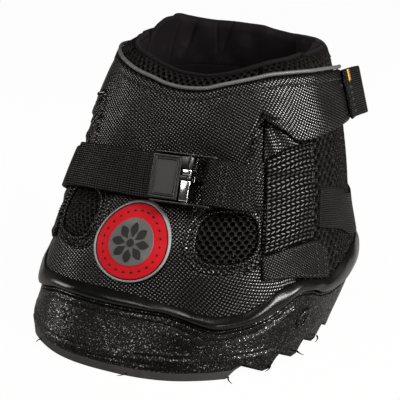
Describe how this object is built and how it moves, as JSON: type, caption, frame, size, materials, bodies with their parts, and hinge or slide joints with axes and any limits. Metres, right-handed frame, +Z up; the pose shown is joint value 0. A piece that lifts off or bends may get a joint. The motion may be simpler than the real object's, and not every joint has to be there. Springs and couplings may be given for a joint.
{
  "type": "horse hoof boot",
  "caption": "Moulded rubber cup sole with a padded textile upper, a wrap shield that folds forward, and a webbing strap with a lever buckle.",
  "frame": {"origin": "a point on the sole's flat underside, on the boot's middle plane, just ahead of the hollow under the frog", "axes": "+Y towards the heel, +Z up, +X towards the side where the strap's doubled webbing is sewn"},
  "size_m": [0.1554, 0.1741, 0.1419],
  "materials": {
    "sole_rubber": "moulded, satin",
    "rand_rubber": "moulded, glossy",
    "board": "dull fibre board",
    "footbed_foam": "covered foam",
    "lining": "padded, dull",
    "coated_weave": "coated basket weave",
    "coarse_weave": "coarse basket weave",
    "spacer_mesh": "open mesh",
    "collar_mesh": "padded open mesh",
    "lycra": "smooth, padded",
    "piping": "reflective grey",
    "webbing": "ribbed webbing",
    "elastic": "ribbed elastic",
    "hook_and_loop": "hook and loop pile",
    "tag_thread": "woven thread",
    "black_metal": "semi-gloss black",
    "polished_steel": "polished",
    "badge_rubber": "moulded, matt"
  },
  "bodies": {
    "boot": {"outsole": "sole_rubber", "rand": "rand_rubber", "lasting_board": "board", "footbed": "footbed_foam", "lining_toe": "lining", "lining_right": "lining", "lining_left": "lining", "lining_heel": "lining", "vamp": "coated_weave", "window_mesh_right": "spacer_mesh", "window_mesh_left": "spacer_mesh", "quarter_mesh_right": "spacer_mesh", "quarter_mesh_left": "spacer_mesh", "heel_panel": "coated_weave", "side_panel_right": "coarse_weave", "side_panel_left": "coarse_weave", "gusset_right": "coated_weave", "gusset_left": "coated_weave", "anchor_patch_right": "webbing", "anchor_patch_left": "webbing", "heel_elastic": "elastic", "rear_collar": "lycra", "collar_under_right": "lycra", "collar_under_left": "lycra", "shield_base": "coated_weave", "loop_pad_right": "hook_and_loop", "loop_pad_left": "hook_and_loop", "strap_webbing": "webbing", "strap_anchor": "webbing", "buckle_frame": "black_metal", "buckle_pin": "black_metal", "clamp_bar": "black_metal", "hinge_block": "polished_steel", "badge": "badge_rubber"},
    "shield": {"front_shield": "coated_weave", "front_collar": "collar_mesh", "shield_piping": "piping"},
    "wrap_arm_right": {"closure_arm_right": "coated_weave", "arm_collar_right": "collar_mesh", "collar_lap_right": "collar_mesh", "arm_piping_right": "piping", "hook_pad_right": "hook_and_loop", "pull_tab_right": "webbing", "side_tag": "tag_thread"},
    "wrap_arm_left": {"closure_arm_left": "coated_weave", "arm_collar_left": "collar_mesh", "collar_lap_left": "collar_mesh", "arm_piping_left": "piping", "hook_pad_left": "hook_and_loop", "pull_tab_left": "webbing"},
    "lever": {"buckle_lever": "black_metal"},
    "free_tail": {"strap_tail": "webbing"}
  },
  "joints": [
    {"name": "shield_fold", "type": "hinge", "parent": "boot", "child": "shield", "pos_m": [0, -0.02992, 0.09899], "axis": [1, 0, 0], "range_deg": [0, 60]},
    {"name": "arm_right_fold", "type": "hinge", "parent": "shield", "child": "wrap_arm_right", "pos_m": [0.04626, -0.01211, 0.11024], "axis": [0.202, -0.3952, -0.8961], "range_deg": [0, 70]},
    {"name": "arm_left_fold", "type": "hinge", "parent": "shield", "child": "wrap_arm_left", "pos_m": [-0.04626, -0.01211, 0.11024], "axis": [0.202, 0.3948, 0.8963], "range_deg": [0, 70]},
    {"name": "lever_pivot", "type": "hinge", "parent": "boot", "child": "lever", "pos_m": [0.02006, -0.04056, 0.08743], "axis": [-0.0505, 0.4024, 0.9141], "range_deg": [0, 100]},
    {"name": "tail_lift", "type": "hinge", "parent": "boot", "child": "free_tail", "pos_m": [-0.00236, -0.04241, 0.08704], "axis": [-0.047, 0.4027, 0.9141], "range_deg": [0, 60]}
  ]
}
